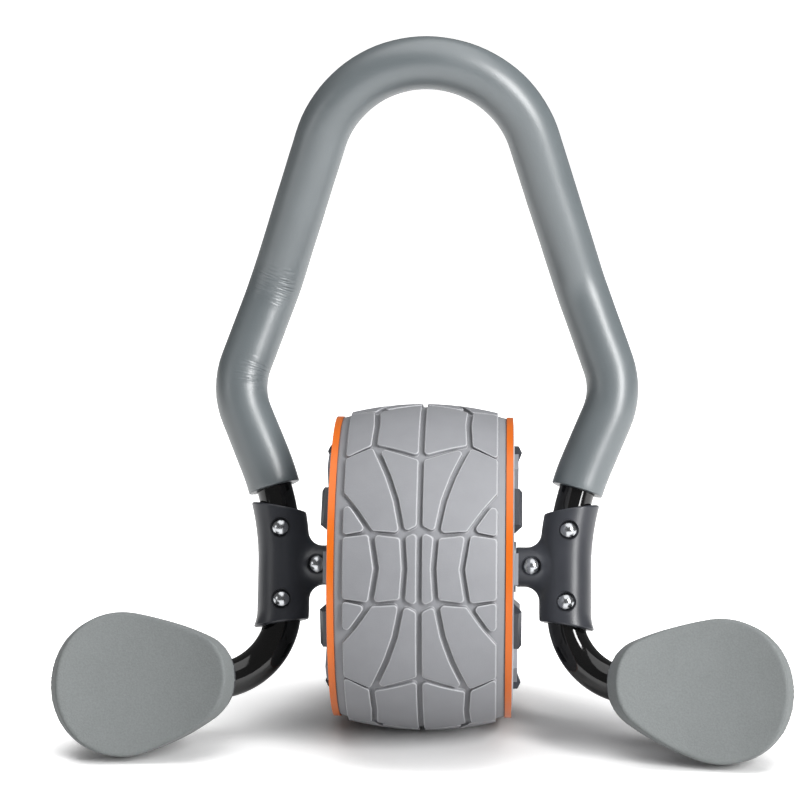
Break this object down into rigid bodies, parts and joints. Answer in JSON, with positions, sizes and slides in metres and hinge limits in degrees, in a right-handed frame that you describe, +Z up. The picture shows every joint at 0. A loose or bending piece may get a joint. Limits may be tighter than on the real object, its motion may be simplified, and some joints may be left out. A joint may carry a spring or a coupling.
{
  "type": "ab wheel roller",
  "caption": "Wide treaded ab roller wheel on a leaning bent-tube frame, with a foam handle loop above and hollowed elbow pads on both sides; a spring inside winds as the wheel rolls out.",
  "frame": {"origin": "on the floor, straight under the middle of the axle, where the wheel's crown touches", "axes": "+X along the axle to the user's right as seen from the pads' hollow side, +Y away from the user, +Z up"},
  "size_m": [0.3964, 0.18, 0.38],
  "materials": {
    "tyre": "matte soft tread rubber",
    "trim": "orange moulded plastic",
    "cover": "mid-grey satin moulded plastic",
    "fin": "dark satin moulded plastic",
    "drum": "plain moulded plastic, hidden",
    "bush": "plain bearing plastic, hidden",
    "steel": "plain steel",
    "spring": "blued spring strip, hidden",
    "tube": "gloss black coating",
    "foam": "closed-cell foam with a fine satin skin",
    "pad_foam": "moulded closed-cell foam, matte",
    "joint": "dark satin moulded plastic",
    "bolt": "bright plated steel",
    "black_plastic": "black moulded plastic",
    "plate": "dark moulded plastic"
  },
  "bodies": {
    "frame": {"axle": "steel", "spring_arbor": "black_plastic", "rebound_spring": "spring", "handle_tube": "tube", "handle_foam": "foam", "joint_bolts": "bolt", "joint_nuts": "bolt", "pad_bolts": "bolt", "left_axle_washer": "steel", "right_axle_washer": "steel", "left_t_joint": "joint", "right_t_joint": "joint", "left_elbow_tube": "tube", "right_elbow_tube": "tube", "left_tube_plug": "black_plastic", "right_tube_plug": "black_plastic", "left_pad_saddle": "black_plastic", "right_pad_saddle": "black_plastic", "left_pad_plate": "plate", "right_pad_plate": "plate", "left_pad_foam": "pad_foam", "right_pad_foam": "pad_foam"},
    "wheel": {"wheel_drum": "drum", "tyre": "tyre", "cover_screws": "steel", "left_trim_ring": "trim", "right_trim_ring": "trim", "left_side_cover": "cover", "right_side_cover": "cover", "left_cover_fins": "fin", "right_cover_fins": "fin", "left_bush": "bush", "right_bush": "bush"}
  },
  "joints": [
    {"name": "wheel_spin", "type": "hinge", "parent": "frame", "child": "wheel", "pos_m": [0, 0, 0.09], "axis": [-1, 0, 0], "range_deg": [0, 900], "stiffness_Nm_per_rad": 0.45}
  ]
}
